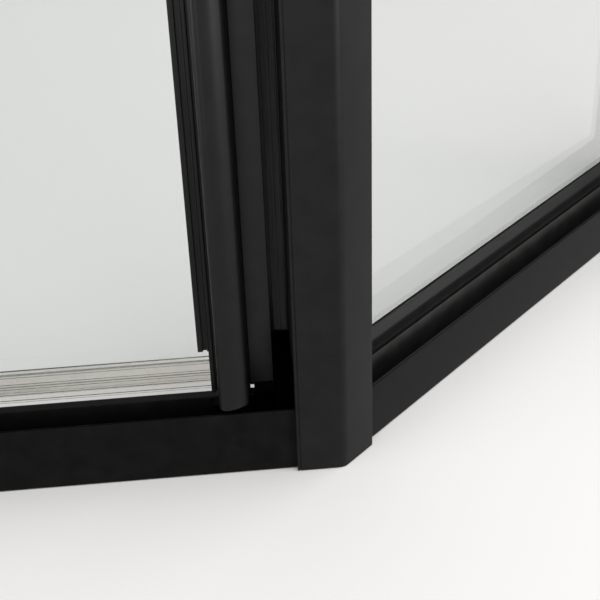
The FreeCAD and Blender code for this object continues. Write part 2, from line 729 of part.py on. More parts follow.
def main():
    os.makedirs("parts", exist_ok=True)
    right_half = {
        "corner_post": corner_post(),
        "post_cap": post_cap(),
        "side_bottom_rail": side_bottom_rail(),
        "side_top_rail": upside_down(side_bottom_rail()),
        "bottom_glazing_bead": glazing_bead(),
        "top_glazing_bead": upside_down(glazing_bead()),
        "fixed_glass": fixed_glass(),
        "front_glazing_gaskets": both_ends(front_gasket()),
        "rear_glazing_gaskets": both_ends(rear_gasket()),
        "upright_glazing_gaskets": upright_gaskets(),
        "setting_blocks": setting_blocks(),
        "wall_profile": wall_profile(),
        "panel_stile": panel_stile(),
    }
    nodes = {}
    for name, shape in right_half.items():
        nodes[name + "_right"] = shape
        nodes[name + "_left"] = mirrored(shape)
    nodes["adjusting_screws"] = both_halves(adjusting_screws())
    nodes["adjusting_screw_caps"] = both_halves(screw_caps())
    nodes["door_sill_rail"] = door_sill_rail()
    nodes["door_head_rail"] = upside_down(door_sill_rail())
    nodes["rail_screws"] = Part.makeCompound(
        rail_screws() + [upside_down(screw) for screw in rail_screws()])
    nodes["hinge_jamb"] = hinge_jamb()
    nodes["jamb_pile_strip"] = jamb_pile_strip()
    nodes["jamb_feet"] = both_halves([jamb_foot(), upside_down(jamb_foot())])
    nodes["corner_seal_blocks"] = both_halves([corner_seal_block(), upside_down(corner_seal_block())])
    nodes["jamb_screws"] = both_halves(jamb_screws())
    nodes["hinge_gap_seal"] = hinge_gap_seal()
    nodes["strike_jamb"] = mirrored(hinge_jamb())
    nodes["strike_pile_strip"] = mirrored(jamb_pile_strip())
    nodes["strike_seal"] = strike_seal()
    nodes["strike_magnet"] = strike_magnet()
    nodes["lower_pivot_block"] = pivot_block()
    nodes["upper_pivot_block"] = upside_down(pivot_block())
    nodes["pivot_block_screws"] = both_ends(block_screw())
    nodes["lower_pivot_pin"] = pivot_pin()
    nodes["upper_pivot_pin"] = upside_down(pivot_pin())
    nodes["door_glass"] = door_glass()
    nodes["hinge_stile"] = stile()
    nodes["hinge_nose_cover"] = nose_cover()
    nodes["lower_nose_plug"] = nose_plug()
    nodes["upper_nose_plug"] = upside_down(nose_plug())
    nodes["lower_pivot_bush"] = pivot_bush()
    nodes["upper_pivot_bush"] = upside_down(pivot_bush())
    nodes["closing_stile"] = on_closing_side(stile())
    nodes["grip_nose_cover"] = on_closing_side(nose_cover())
    nodes["grip_end_plugs"] = both_ends(on_closing_side(end_plug(12.0)))
    nodes["door_glass_gaskets"] = Part.makeCompound(
        stile_gaskets() + [on_closing_side(strip) for strip in stile_gaskets()])
    nodes["door_bottom_seal"] = door_bottom_seal()
    nodes["door_magnet_seal"] = door_magnet_seal()
    nodes["door_magnet"] = door_magnet()
    for name, shape in nodes.items():
        if not shape.isValid():
            print("not valid:", name)
        shape.exportStep("parts/" + name + ".step")
    print(len(nodes), "nodes")


main()
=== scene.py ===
import json
import math
import random

import bmesh
import bpy
from mathutils import Matrix, Vector
from mathutils.geometry import tessellate_polygon


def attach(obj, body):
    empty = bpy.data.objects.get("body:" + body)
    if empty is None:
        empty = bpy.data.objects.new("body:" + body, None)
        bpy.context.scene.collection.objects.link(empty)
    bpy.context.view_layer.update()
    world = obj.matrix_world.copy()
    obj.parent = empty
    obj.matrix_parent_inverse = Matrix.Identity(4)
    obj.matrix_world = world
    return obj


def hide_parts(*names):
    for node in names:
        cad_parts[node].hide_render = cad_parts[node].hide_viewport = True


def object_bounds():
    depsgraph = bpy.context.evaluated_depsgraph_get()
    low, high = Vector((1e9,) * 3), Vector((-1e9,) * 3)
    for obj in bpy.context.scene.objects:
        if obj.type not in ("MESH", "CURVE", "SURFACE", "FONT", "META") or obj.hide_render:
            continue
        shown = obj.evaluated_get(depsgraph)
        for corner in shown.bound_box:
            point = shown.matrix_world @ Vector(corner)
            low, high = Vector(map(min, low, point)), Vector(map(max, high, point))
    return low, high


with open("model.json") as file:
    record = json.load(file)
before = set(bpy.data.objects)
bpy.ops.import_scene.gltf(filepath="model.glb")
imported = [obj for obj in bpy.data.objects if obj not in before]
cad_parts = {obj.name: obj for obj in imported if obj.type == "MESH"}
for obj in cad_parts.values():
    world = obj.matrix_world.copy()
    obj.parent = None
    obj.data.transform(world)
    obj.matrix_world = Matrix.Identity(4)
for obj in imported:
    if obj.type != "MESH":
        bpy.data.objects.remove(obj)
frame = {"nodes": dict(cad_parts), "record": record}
cad_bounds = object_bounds()

# Sections are written in millimetres. u runs along the door side from the right post's outer
# corner, a runs along the right side panel from the same corner, n runs inwards, z runs up.
# A section's point is (across, inwards) or, in a rail, (inwards, up). A third value is the
# radius of its corner.
MM = 0.001
low_corner, high_corner = cad_bounds
HEIGHT = high_corner[2] / MM
SIDE = (high_corner[0] - low_corner[0]) / 2 / MM
DIAGONAL = math.sqrt(0.5)
CORNER = Vector((0, low_corner[1], 0))
ALONG_DOOR = Vector((-DIAGONAL, DIAGONAL, 0))
INTO_DOOR = Vector((DIAGONAL, DIAGONAL, 0))
UP = Vector((0, 0, 1))
DOOR_RUN = SIDE / DIAGONAL

POST_FACE = 26.5
POST_SIDE_FACE = 25.8
POST_DEPTH = 46.0
POST_BEND = 8.0
POST_WALL = 1.8
POST_CAP = 2.5
# front and back of the post's glazing pocket, and its depth
POCKET = (33.8, 43.4, 14.0)
DOOR_RAIL_FRONT = 3.2
SIDE_RAIL_FRONT = 4.1
RAIL_WALL = 2.0
RAIL_FLOOR = 10.0
SILL_FLANGE = 39.6
# front, back and top
SILL_UPSTAND = (25.3, 31.6, 37.0)
SIDE_FLANGE = 35.6
SIDE_CHANNEL_BACK = 24.7
SIDE_UPSTAND_TOP = 34.0
SIDE_REAR_TOP = 33.0
SIDE_DEPTH = 45.4
# front, back, bottom and top
BEAD = (25.3, 34.6, 34.8, 43.5)
BEAD_LEDGE = 37.4
BEAD_FOOT = (27.0, 33.0)
# front, back and bottom of a side pane, and its gap to the bottom of its pockets
SIDE_GLASS = (35.0, 41.0, 14.0)
SIDE_GLASS_GAP = 3.0
JAMB_FACE = 28.0
JAMB_BACK = 44.0
JAMB_WALL = 1.6
# near and far side of the jamb's box, then thickness, front and back of its leg on the post
JAMB_BOX = (36.35, 49.5)
JAMB_LEG = (1.2, 14.0, 28.0)
JAMB_BOTTOM = 43.1
# near and far side, face and bottom of a pile strip
PILE = (26.8, 34.0, 42.0, 67.7)
DOOR_BOTTOM = 43.5
# near and far side, front and back
STILE = (51.4, 70.8, 18.0, 34.0)
CLOSING_SHIFT = 10.0
# corners of the nose cover, and how far each moves inwards for each millimetre of wall
NOSE = ((67.3, 1.0, 4.2), (57.5, 3.0, 14.0), (51.4, 6.9, 4.5))
NOSE_INWARDS = ((-1.0, 1.22), (0.38, 0.94), (1.0, 0.55))
NOSE_WALL = 1.6
NOSE_BACK = 18.0
WING_END = 77.0
WING_BOTTOM = 71.0
# front, back and bottom
DOOR_GLASS = (25.0, 31.0, 50.0)
DOOR_GLASS_EDGE = 71.2
# bottom, front top and rear top of the bottom seal, then its ribs' heights, width and depth
SEAL = (44.3, 65.0, 57.5)
SEAL_RIBS = (62.2, 60.8, 56.3, 53.2, 49.5, 45.9)
SEAL_RIB = (0.5, 0.35)
STILE_GAP = 8.0
STILE_DEPTH = 30.0
STILE_START = SIDE - STILE_GAP - STILE_DEPTH
EDGE = 0.25
ARC_STEP = math.radians(9)
SHARP = math.radians(32)
NEARLY_STRAIGHT = math.radians(88)
# half of the 45 degree turn between the door side and a side panel
HALF_TURN = math.radians(22.5)


# ---------------------------------------------------------------- places

def door_point(u, n, z):
    return CORNER + (ALONG_DOOR * u + INTO_DOOR * n + UP * z) * MM


def side_point(a, n, z):
    return CORNER + Vector((a, n, z)) * MM


def door_upright(spot, run):
    return door_point(spot[0], spot[1], run)


def side_upright(spot, run):
    return side_point(spot[0], spot[1], run)


def door_rail(spot, run):
    return door_point(run, spot[0], spot[1])


def side_rail(spot, run):
    return side_point(run, spot[0], spot[1])


def mirrored(place):
    """The same place on the left half, across the plane X = Y."""
    def other_half(spot, run):
        point = place(spot, run)
        return Vector((point.y, point.x, point.z))
    return other_half


def upside_down(place):
    """The same place measured down from the top."""
    def other_end(spot, run):
        point = place(spot, run)
        return Vector((point.x, point.y, HEIGHT * MM - point.z))
    return other_end


def closing_side(place):
    """A hinge side place of the door, moved to its closing side."""
    def shifted(spot, run):
        return mirrored(place)(spot, run) - ALONG_DOOR * CLOSING_SHIFT * MM
    return shifted


def door_to_side(u, n):
    """A spot of the door side in the side panel's (a, n)."""
    spot = ALONG_DOOR * u + INTO_DOOR * n
    return (spot.x, spot.y)


# ---------------------------------------------------------------- meshes

def rounded(points, radius=EDGE):
    """Closed outline with every corner rounded: to its third value, or else to radius."""
    outline = []
    for index, point in enumerate(points):
        corner = Vector(point[:2])
        before = Vector(points[index - 1][:2]) - corner
        after = Vector(points[(index + 1) % len(points)][:2]) - corner
        wanted = point[2] if len(point) > 2 else radius
        half = before.angle(after) / 2
        if wanted <= 0 or half > NEARLY_STRAIGHT:
            outline.append(corner)
            continue
        longest = 0.49 * min(before.length, after.length)
        reach = min(wanted / math.tan(half), longest)
        curve = reach * math.tan(half)
        centre = corner + (before.normalized() + after.normalized()).normalized() * (
            curve / math.sin(half))
        first = corner + before.normalized() * reach - centre
        turn = math.pi - 2 * half
        if first.x * (corner - centre).y - first.y * (corner - centre).x < 0:
            turn = -turn
        steps = max(2, math.ceil(abs(turn) / ARC_STEP))
        for step in range(steps + 1):
            outline.append(centre + Matrix.Rotation(turn * step / steps, 2) @ first)
    return outline


def rectangle(low_x, high_x, low_y, high_y):
    return [(low_x, low_y), (high_x, low_y), (high_x, high_y), (low_x, high_y)]


def prism_mesh(loops, place, start, end):
    """Vertices and faces of the extrusion of an outer loop, less its hole loops."""
    flat = [spot for loop in loops for spot in loop]
    count = len(flat)
    vertices = [place(spot, start) for spot in flat] + [place(spot, end) for spot in flat]
    caps = tessellate_polygon([[spot.to_3d() for spot in loop] for loop in loops])
    faces = [tuple(face) for face in caps]
    faces += [tuple(index + count for index in reversed(face)) for face in caps]
    first = 0
    for loop in loops:
        for index in range(len(loop)):
            here, there = first + index, first + (index + 1) % len(loop)
            faces.append((here, there, there + count, here + count))
        first += len(loop)
    return vertices, faces


def finish_mesh(name, vertices, faces, material):
    mesh = bpy.data.meshes.new(name)
    mesh.from_pydata(vertices, [], faces)
    mesh.validate()
    work = bmesh.new()
    work.from_mesh(mesh)
    bmesh.ops.remove_doubles(work, verts=work.verts, dist=1e-7)
    bmesh.ops.recalc_face_normals(work, faces=work.faces)
    work.to_mesh(mesh)
    work.free()
    mesh.shade_smooth()
    mesh.set_sharp_from_angle(angle=SHARP)
    mesh.materials.append(material)
    piece = bpy.data.objects.new(name, mesh)
    bpy.context.scene.collection.objects.link(piece)
    return piece


def profile(name, node, place, span, outline, material, holes=(), edge=EDGE):
    """A straight profile that stands for one CAD node. span is its start and end."""
    return group(name, node, [(place, span, outline, holes)], material, edge)


def group(name, node, prisms, material, edge=EDGE):
    """Several straight profiles that stand together for one CAD node."""
    vertices, faces = [], []
    for place, span, outline, holes in prisms:
        loops = [rounded(outline, edge)] + [rounded(hole, edge) for hole in holes]
        more, their_faces = prism_mesh(loops, place, *span)
        faces += [tuple(index + len(vertices) for index in face) for face in their_faces]
        vertices += more
    piece = finish_mesh(name, vertices, faces, material)
    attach(piece, body_of(node))
    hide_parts(node)
    return piece


def cut_out(piece, place, span, outline):
    """Take a straight prism out of a piece, as one clean closed mesh."""
    vertices, faces = prism_mesh([[Vector(spot) for spot in outline]], place, *span)
    cutter = finish_mesh("cutter", vertices, faces, piece.data.materials[0])
    modifier = piece.modifiers.new("cut", "BOOLEAN")
    modifier.operation = "DIFFERENCE"
    modifier.solver = "EXACT"
    modifier.object = cutter
    cut = piece.evaluated_get(bpy.context.evaluated_depsgraph_get())
    mesh = bpy.data.meshes.new_from_object(cut)
    piece.modifiers.clear()
    piece.data = mesh
    mesh.name = piece.name
    mesh.set_sharp_from_angle(angle=SHARP)
    bpy.data.objects.remove(cutter)


def body_of(node):
    return next(body for body, nodes in frame["record"]["behaviour"]["bodies"].items()
                if node in nodes)


# ---------------------------------------------------------------- materials

def new_material(name):
    material = bpy.data.materials.new(name)
    material.use_nodes = True
    tree = material.node_tree
    shader = tree.nodes["Principled BSDF"]
    return material, tree, shader


def noise(tree, scale, detail=3.0, stretch=(1, 1, 1)):
    """Noise over the piece's own coordinates, in metres, scale features per metre."""
    coordinates = tree.nodes.new("ShaderNodeTexCoord")
    mapping = tree.nodes.new("ShaderNodeMapping")
    mapping.inputs["Scale"].default_value = stretch
    texture = tree.nodes.new("ShaderNodeTexNoise")
    texture.inputs["Scale"].default_value = scale
    texture.inputs["Detail"].default_value = detail
    tree.links.new(coordinates.outputs["Object"], mapping.inputs["Vector"])
    tree.links.new(mapping.outputs["Vector"], texture.inputs["Vector"])
    return texture.outputs["Fac"]


def ramp(tree, factor, low, high, ends=(0.3, 0.7)):
    node = tree.nodes.new("ShaderNodeValToRGB")
    node.color_ramp.elements[0].position = ends[0]
    node.color_ramp.elements[1].position = ends[1]
    node.color_ramp.elements[0].color = low + (1,)
    node.color_ramp.elements[1].color = high + (1,)
    tree.links.new(factor, node.inputs["Fac"])
    return node.outputs["Color"]


def roughness(tree, shader, factor, low, high):
    node = tree.nodes.new("ShaderNodeMapRange")
    node.inputs["To Min"].default_value = low
    node.inputs["To Max"].default_value = high
    tree.links.new(factor, node.inputs["Value"])
    tree.links.new(node.outputs["Result"], shader.inputs["Roughness"])


def bump(tree, shader, factor, strength, distance):
    node = tree.nodes.new("ShaderNodeBump")
    node.inputs["Strength"].default_value = strength
    node.inputs["Distance"].default_value = distance
    tree.links.new(factor, node.inputs["Height"])
    tree.links.new(node.outputs["Normal"], shader.inputs["Normal"])


def powder_coat(name, base, mirror):
    """Matt black powder coat with its fine orange peel."""
    material, tree, shader = new_material("matt black powder coat " + name)
    colour = ramp(tree, noise(tree, 90.0), tuple(base * share for share in (0.8, 0.78, 0.77)),
                  tuple(base * share for share in (1.24, 1.2, 1.18)))
    tree.links.new(colour, shader.inputs["Base Color"])
    roughness(tree, shader, noise(tree, 240.0), 0.36, 0.44)
    bump(tree, shader, noise(tree, 1500.0, 2.0), 0.22, 0.00005)
    shader.inputs["Specular IOR Level"].default_value = mirror
    return material


def dark_plastic(name, base, rough, mirror=0.5):
    material, tree, shader = new_material(name)
    colour = ramp(tree, noise(tree, 300.0), base, tuple(value * 1.5 for value in base))
    tree.links.new(colour, shader.inputs["Base Color"])
    roughness(tree, shader, noise(tree, 500.0), rough, rough + 0.1)
    bump(tree, shader, noise(tree, 2500.0, 2.0), 0.2, 0.00005)
    shader.inputs["Specular IOR Level"].default_value = mirror
    return material


def pile_fabric():
    """Black woven pile with upright fibres."""
    material, tree, shader = new_material("black pile")
    fibres = noise(tree, 3000.0, 3.0, (1, 1, 0.02))
    colour = ramp(tree, fibres, (0.002, 0.002, 0.0021), (0.009, 0.009, 0.0095))
    tree.links.new(colour, shader.inputs["Base Color"])
    bump(tree, shader, fibres, 0.6, 0.0003)
    shader.inputs["Roughness"].default_value = 0.85
    shader.inputs["Sheen Weight"].default_value = 0.1
    shader.inputs["Specular IOR Level"].default_value = 0.1
    return material


def foam():
    material, tree, shader = new_material("black foam")
    cells = noise(tree, 900.0, 2.0)
    # Near black, darker than the other black parts: painted shade for the deep shade in the recess
    # at the post's foot.
    colour = ramp(tree, cells, (0.0001, 0.0001, 0.0001), (0.0004, 0.0004, 0.0004))
    tree.links.new(colour, shader.inputs["Base Color"])
    bump(tree, shader, cells, 0.8, 0.0004)
    shader.inputs["Roughness"].default_value = 0.95
    shader.inputs["Specular IOR Level"].default_value = 0.0
    return material


def sheen_of_glass(tree):
    """Share of light that one face mirrors, the same from inside and outside the pane."""
    layer = tree.nodes.new("ShaderNodeLayerWeight")
    grazing = tree.nodes.new("ShaderNodeMath")
    grazing.operation = "POWER"
    grazing.inputs[1].default_value = 5.0
    share = tree.nodes.new("ShaderNodeMapRange")
    share.inputs["To Min"].default_value = 0.04
    tree.links.new(layer.outputs["Facing"], grazing.inputs[0])
    tree.links.new(grazing.outputs["Value"], share.inputs["Value"])
    return share.outputs["Result"]


def see_through(name, tint_low, tint_high, rough):
    """Clear material that lets light and shadow through and mirrors at its faces."""
    material = bpy.data.materials.new(name)
    material.use_nodes = True
    tree = material.node_tree
    tree.nodes.clear()
    through = tree.nodes.new("ShaderNodeBsdfTransparent")
    mirror = tree.nodes.new("ShaderNodeBsdfGlossy")
    mirror.inputs["Roughness"].default_value = rough
    tint = ramp(tree, noise(tree, 2.0, 1.0), tint_low, tint_high)
    tree.links.new(tint, through.inputs["Color"])
    mix = tree.nodes.new("ShaderNodeMixShader")
    output = tree.nodes.new("ShaderNodeOutputMaterial")
    tree.links.new(sheen_of_glass(tree), mix.inputs["Fac"])
    tree.links.new(through.outputs["BSDF"], mix.inputs[1])
    tree.links.new(mirror.outputs["BSDF"], mix.inputs[2])
    tree.links.new(mix.outputs["Shader"], output.inputs["Surface"])
    return material


def clear_seal():
    """Soft clear extrusion that bends what is seen through it."""
    material, tree, shader = new_material("clear flexible seal")
    cloud = noise(tree, 60.0, 3.0, (0.05, 0.05, 1))
    colour = ramp(tree, cloud, (0.95, 0.935, 0.91), (0.99, 0.975, 0.95))
    tree.links.new(colour, shader.inputs["Base Color"])
    roughness(tree, shader, cloud, 0.1, 0.18)
    shader.inputs["Transmission Weight"].default_value = 1.0
    shader.inputs["IOR"].default_value = 1.45
    return material


def steel(name, dark, light):
    material, tree, shader = new_material(name)
    brushed = noise(tree, 800.0, 3.0, (1, 1, 0.1))
    colour = ramp(tree, brushed, dark, light)
    tree.links.new(colour, shader.inputs["Base Color"])
    roughness(tree, shader, brushed, 0.25, 0.4)
    shader.inputs["Metallic"].default_value = 1.0
    return material


# One black powder coat, copied per part with base colour and mirror made lighter or darker:
# painted light and shade for how light falls on each part.
COAT = powder_coat("post", 0.0047, 0.118)
COAT_DOOR = powder_coat("door", 0.0037, 0.154)
COAT_JAMB = powder_coat("jamb", 0.0088, 0.2)
COAT_SILL = powder_coat("sill", 0.0045, 0.02)
COAT_RAIL = powder_coat("side rail", 0.0028, 0.07)
# The channel copy is about ten times lighter than the others: painted light inside the side rails'
# front channel.
CHANNEL_PAINTED_LIGHT_COAT = powder_coat("channel", 0.045, 0.09)
COAT_BEAD = powder_coat("bead", 0.006, 0.15)
PLASTIC = dark_plastic("black moulded plastic", (0.0012, 0.0012, 0.0013), 0.5, 0.12)
# Near black, darker than the moulded plastic: painted shade for the pivot blocks and jamb feet,
# which sit deep in the corner's shade.
PAINTED_SHADE_BLOCK = dark_plastic("matt black block", (0.0004, 0.0004, 0.0004), 0.7, 0.02)
RUBBER = dark_plastic("black rubber", (0.0012, 0.0012, 0.0012), 0.6, 0.12)
MAGNET = dark_plastic("magnetic rubber", (0.02, 0.017, 0.015), 0.55)
PILE_FABRIC = pile_fabric()
PAINTED_SHADE_FOAM = foam()
GLASS_EDGE = see_through("glass edge", (0.16, 0.2, 0.18), (0.24, 0.3, 0.27), 0.3)
GLASS = see_through("clear glass", (0.978, 0.99, 0.984), (0.986, 0.994, 0.99), 0.0)
CLEAR_LIP = see_through("clear glazing gasket", (0.97, 0.97, 0.965), (0.985, 0.985, 0.98), 0.15)
CLEAR = clear_seal()
STEEL = steel("stainless steel", (0.5, 0.5, 0.49), (0.66, 0.65, 0.64))
BLACK_STEEL = steel("black oxide steel", (0.002, 0.002, 0.002), (0.004, 0.004, 0.004))


# ---------------------------------------------------------------- fixed frame

def corner_post():
    """Outline and chamber of a post, which turns by 45 degrees at its front corner."""
    groove_edge, groove = 1.4, 0.5
    leg, leg_front, _ = JAMB_LEG
    pocket_front, pocket_back, depth = POCKET
    outer = [
        (0, 0, POST_BEND),
        (POST_SIDE_FACE, 0, 0.6),
        (POST_SIDE_FACE, pocket_front),
        (POST_SIDE_FACE - depth, pocket_front),
        (POST_SIDE_FACE - depth, pocket_back),
        (POST_SIDE_FACE, pocket_back),
        (POST_SIDE_FACE, POST_DEPTH),
        door_to_side(POST_FACE - leg, POST_DEPTH),
        door_to_side(POST_FACE - leg, leg_front) + (0,),
        door_to_side(POST_FACE, leg_front),
        door_to_side(POST_FACE, 0) + (0.4,),
        door_to_side(POST_FACE - groove_edge, 0) + (0.15,),
        door_to_side(POST_FACE - groove_edge, groove) + (0.1,),
        door_to_side(POST_FACE - groove_edge - groove, groove) + (0.1,),
        door_to_side(POST_FACE - groove_edge - groove, 0) + (0.15,),
    ]
    side_wall = POST_SIDE_FACE - POST_WALL
    door_wall = POST_FACE - leg - POST_WALL
    pocket_wall = POST_SIDE_FACE - depth - POST_WALL
    chamber = [
        (POST_WALL * math.tan(HALF_TURN), POST_WALL, POST_BEND - POST_WALL),
        (side_wall, POST_WALL),
        (side_wall, pocket_front - POST_WALL),
        (pocket_wall, pocket_front - POST_WALL),
        (pocket_wall, pocket_wall + door_wall / DIAGONAL),
        door_to_side(door_wall, POST_WALL),
    ]
    return outer, chamber


def build_posts():
    outer, chamber = corner_post()
    for side, place in (("right", side_upright), ("left", mirrored(side_upright))):
        profile("post_profile_" + side, "corner_post_" + side, place, (0, HEIGHT - POST_CAP),
                outer, COAT, [chamber])


def sill_section():
    back, rear, top = SILL_UPSTAND
    inner = DOOR_RAIL_FRONT + RAIL_WALL
    outer = [
        (DOOR_RAIL_FRONT, 0, 0.4),
        (rear, 0, 0.4),
        (rear, top, 0.4),
        (back, top, 0.4),
        (back, RAIL_FLOOR, 0.5),
        (inner, RAIL_FLOOR, 0.5),
        (inner, SILL_FLANGE, 0.6),
        (DOOR_RAIL_FRONT, SILL_FLANGE, 0.6),
    ]
    chamber = rectangle(inner, back, RAIL_WALL, RAIL_FLOOR - RAIL_WALL)
    upright = rectangle(back + RAIL_WALL, rear - RAIL_WALL, RAIL_WALL, top - RAIL_WALL)
    return outer, [chamber, upright]


def build_door_rails():
    outer, holes = sill_section()
    span = (POST_FACE, DOOR_RUN - POST_FACE)
    for node, place in (("door_sill_rail", door_rail), ("door_head_rail", upside_down(door_rail))):
        profile(node + "_profile", node, place, span, outer, COAT_SILL, holes)


def side_section():
    inner = SIDE_RAIL_FRONT + RAIL_WALL
    pocket_back = POCKET[1]
    floor_inside = RAIL_FLOOR - RAIL_WALL
    outer = [
        (SIDE_RAIL_FRONT, 0, 0.4),
        (SIDE_DEPTH, 0, 0.4),
        (SIDE_DEPTH, SIDE_REAR_TOP, 0.4),
        (pocket_back, SIDE_REAR_TOP, 0.4),
        (pocket_back, RAIL_FLOOR),
        (BEAD_FOOT[1], RAIL_FLOOR),
        (BEAD_FOOT[1], SIDE_UPSTAND_TOP),
        (SIDE_CHANNEL_BACK, SIDE_UPSTAND_TOP, 0.4),
        (SIDE_CHANNEL_BACK, RAIL_FLOOR, 0.5),
        (inner, RAIL_FLOOR, 0.5),
        (inner, SIDE_FLANGE, 0.6),
        (SIDE_RAIL_FRONT, SIDE_FLANGE, 0.6),
    ]
    front = rectangle(inner, SIDE_CHANNEL_BACK, RAIL_WALL, floor_inside)
    middle = rectangle(SIDE_CHANNEL_BACK + RAIL_WALL, BEAD_FOOT[1] - RAIL_WALL,
                       RAIL_WALL, SIDE_UPSTAND_TOP - RAIL_WALL)
    rear = rectangle(BEAD_FOOT[1], pocket_back, RAIL_WALL, floor_inside)
    return outer, [front, middle, rear]


def paint_channel_light(rail):
    """The faces inside the front channel of a right rail get a far lighter copy of the coat:
    painted light that stands for the light falling into the channel.
    """
    rail.data.materials.append(CHANNEL_PAINTED_LIGHT_COAT)
    margin = 0.1
    front, back = SIDE_RAIL_FRONT + RAIL_WALL - margin, SIDE_CHANNEL_BACK + margin
    for face in rail.data.polygons:
        n = (face.center.y - CORNER.y) / MM
        rise = face.center.z / MM
        rise = min(rise, HEIGHT - rise)
        if front < n < back and RAIL_FLOOR - margin < rise < SIDE_UPSTAND_TOP:
            face.material_index = 1


def bead_section():
    front, back, bottom, top = BEAD
    wall = 1.4
    outer = [
        (BEAD_FOOT[0], SIDE_UPSTAND_TOP),
        (BEAD_FOOT[1], SIDE_UPSTAND_TOP),
        (BEAD_FOOT[1], bottom),
        (back, bottom),
        (back, top, 0.4),
        (front, top, 0.6),
        (front, BEAD_LEDGE, 0.1),
        (SIDE_CHANNEL_BACK, BEAD_LEDGE - 0.2, 0.2),
        (SIDE_CHANNEL_BACK, bottom, 0.3),
        (BEAD_FOOT[0], bottom),
    ]
    return outer, [rectangle(front + wall, back - wall, bottom + wall, top - wall)]


def front_gasket_section():
    """Gasket between the bead and the pane, with a clear lip that stands above the bead."""
    _, bead_back, bead_bottom, _ = BEAD
    gap, bottom, lip_top = 0.3, 20.0, 49.5
    front, back = BEAD_FOOT[1] + gap, SIDE_GLASS[0]
    return [
        (front, bottom),
        (back, bottom),
        (back, lip_top),
        (bead_back + 0.1, lip_top - 0.4),
        (bead_back, bead_bottom),
        (front, bead_bottom - gap),
    ]


def rear_gasket_section():
    """Gasket behind the pane, with a head that rests on the rail."""
    front, back = SIDE_GLASS[1], POCKET[1]
    bottom, head_top = 18.0, SIDE_REAR_TOP + 2.5
    return [
        (front, bottom),
        (back, bottom),
        (back, SIDE_REAR_TOP),
        (back + 1.0, SIDE_REAR_TOP),
        (back + 0.6, head_top),
        (front, head_top),
    ]


def build_side_panels():
    span = (POST_SIDE_FACE, STILE_START)
    rail, rail_holes = side_section()
    bead, bead_holes = bead_section()
    front, back, bottom = SIDE_GLASS
    reach = POCKET[2] - SIDE_GLASS_GAP
    pane = rectangle(POST_SIDE_FACE - reach, STILE_START + reach, front, back)
    for side, flip in (("right", lambda place: place), ("left", mirrored)):
        low, high = flip(side_rail), flip(upside_down(side_rail))
        for end, place in (("bottom", low), ("top", high)):
            channel = profile(f"side_rail_{end}_{side}", f"side_{end}_rail_{side}", place, span,
                              rail, COAT_RAIL, rail_holes)
            if side == "right":
                paint_channel_light(channel)
            profile(f"bead_{end}_{side}", f"{end}_glazing_bead_{side}", place, span,
                    bead, COAT_BEAD, bead_holes)
        gasket, rear = front_gasket_section(), rear_gasket_section()
        group("clear_gaskets_" + side, "front_glazing_gaskets_" + side,
              [(low, span, gasket, []), (high, span, gasket, [])], CLEAR_LIP)
        group("rear_gaskets_" + side, "rear_glazing_gaskets_" + side,
              [(low, span, rear, []), (high, span, rear, [])], RUBBER)
        profile("fixed_pane_" + side, "fixed_glass_" + side, flip(side_upright),
                (bottom, HEIGHT - bottom), pane, GLASS, edge=0.6)


def jamb_section():
    near, far = JAMB_BOX
    leg, leg_front, leg_back = JAMB_LEG
    step = 0.6
    outer = [
        (POST_FACE - leg, leg_front),
        (POST_FACE, leg_front, 0.1),
        (POST_FACE, leg_back),
        (POST_FACE - step, leg_back),
        (POST_FACE - step, JAMB_BACK),
        (near, JAMB_BACK),
        (near, JAMB_FACE, 0.5),
        (far, JAMB_FACE, 0.5),
        (far, POST_DEPTH),
        (POST_FACE - leg, POST_DEPTH),
    ]
    chamber = rectangle(near + JAMB_WALL, far - JAMB_WALL,
                        JAMB_FACE + JAMB_WALL, POST_DEPTH - JAMB_WALL)
    return outer, [chamber]


def pile_section(seed):
    """Pile strip whose face has fine uneven upright ridges."""
    near, far, face, _ = PILE
    pitch, edge_depth = 0.3, 0.5
    crest_depths, valley_depths = (0.0, 0.25), (0.45, 0.8)
    chance = random.Random(seed)
    points = [(near, JAMB_BACK), (near, face + edge_depth)]
    for index in range(int((far - near) / pitch)):
        crest = face + chance.uniform(*crest_depths)
        valley = face + chance.uniform(*valley_depths)
        middle = near + (index + 0.5) * pitch
        points += [(middle, crest), (middle + pitch / 2, valley)]
    return points[:-1] + [(far, face + edge_depth), (far, JAMB_BACK)]


def build_jambs():
    span = (JAMB_BOTTOM, HEIGHT - JAMB_BOTTOM)
    outer, holes = jamb_section()
    pile_span = (PILE[3], HEIGHT - PILE[3])
    for node, pile_node, place in (("hinge_jamb", "jamb_pile_strip", door_upright),
                                   ("strike_jamb", "strike_pile_strip", mirrored(door_upright))):
        profile(node + "_profile", node, place, span, outer, COAT_JAMB, holes)
        profile(pile_node + "_pile", pile_node, place, pile_span, pile_section(seed=7),
                PILE_FABRIC, edge=0)


# ---------------------------------------------------------------- door leaf

def nose_points(inset):
    """Front of a stile's rounded nose in (u, n), shrunk by inset and open at its back."""
    least_radius = 0.4
    corners = [(u + across * inset, n + inwards * inset, max(radius - inset, least_radius))
               for (u, n, radius), (across, inwards) in zip(NOSE, NOSE_INWARDS)]
    return [(corners[0][0], NOSE_BACK, 0.1)] + corners + [(corners[-1][0], NOSE_BACK, 0.1)]


def nose_section():
    return nose_points(0.0) + nose_points(NOSE_WALL)[::-1]


